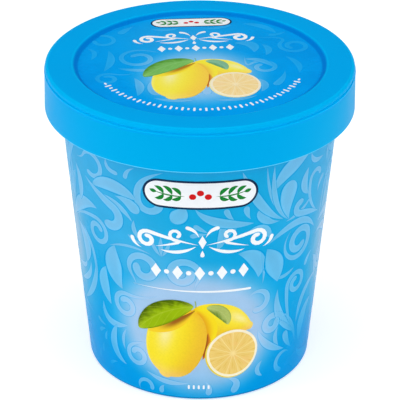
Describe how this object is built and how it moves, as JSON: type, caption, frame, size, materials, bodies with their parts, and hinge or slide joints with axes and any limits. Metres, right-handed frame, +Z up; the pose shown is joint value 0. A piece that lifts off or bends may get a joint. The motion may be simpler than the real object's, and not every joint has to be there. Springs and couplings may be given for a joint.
{
  "type": "lidded sorbet cup",
  "caption": "Shut, filled sorbet cup: a tapered round printed plastic tub with a push-on blue lid, sunk lid panel, skirt, groove and foot ring.",
  "frame": {"origin": "middle of the base, on the surface that the cup stands on", "axes": "+Z up along the cup's axis; the front of the print faces -Y"},
  "size_m": [0.102, 0.102, 0.1072],
  "materials": {
    "tub_print": "in-mould printed label, pale scrolls and lemons on blue, semi-gloss",
    "lid_plastic": "moulded sky-blue plastic, gloss, with a printed disc in the sunk panel"
  },
  "bodies": {
    "root": {"tub": "tub_print", "lid": "lid_plastic"}
  },
  "joints": []
}
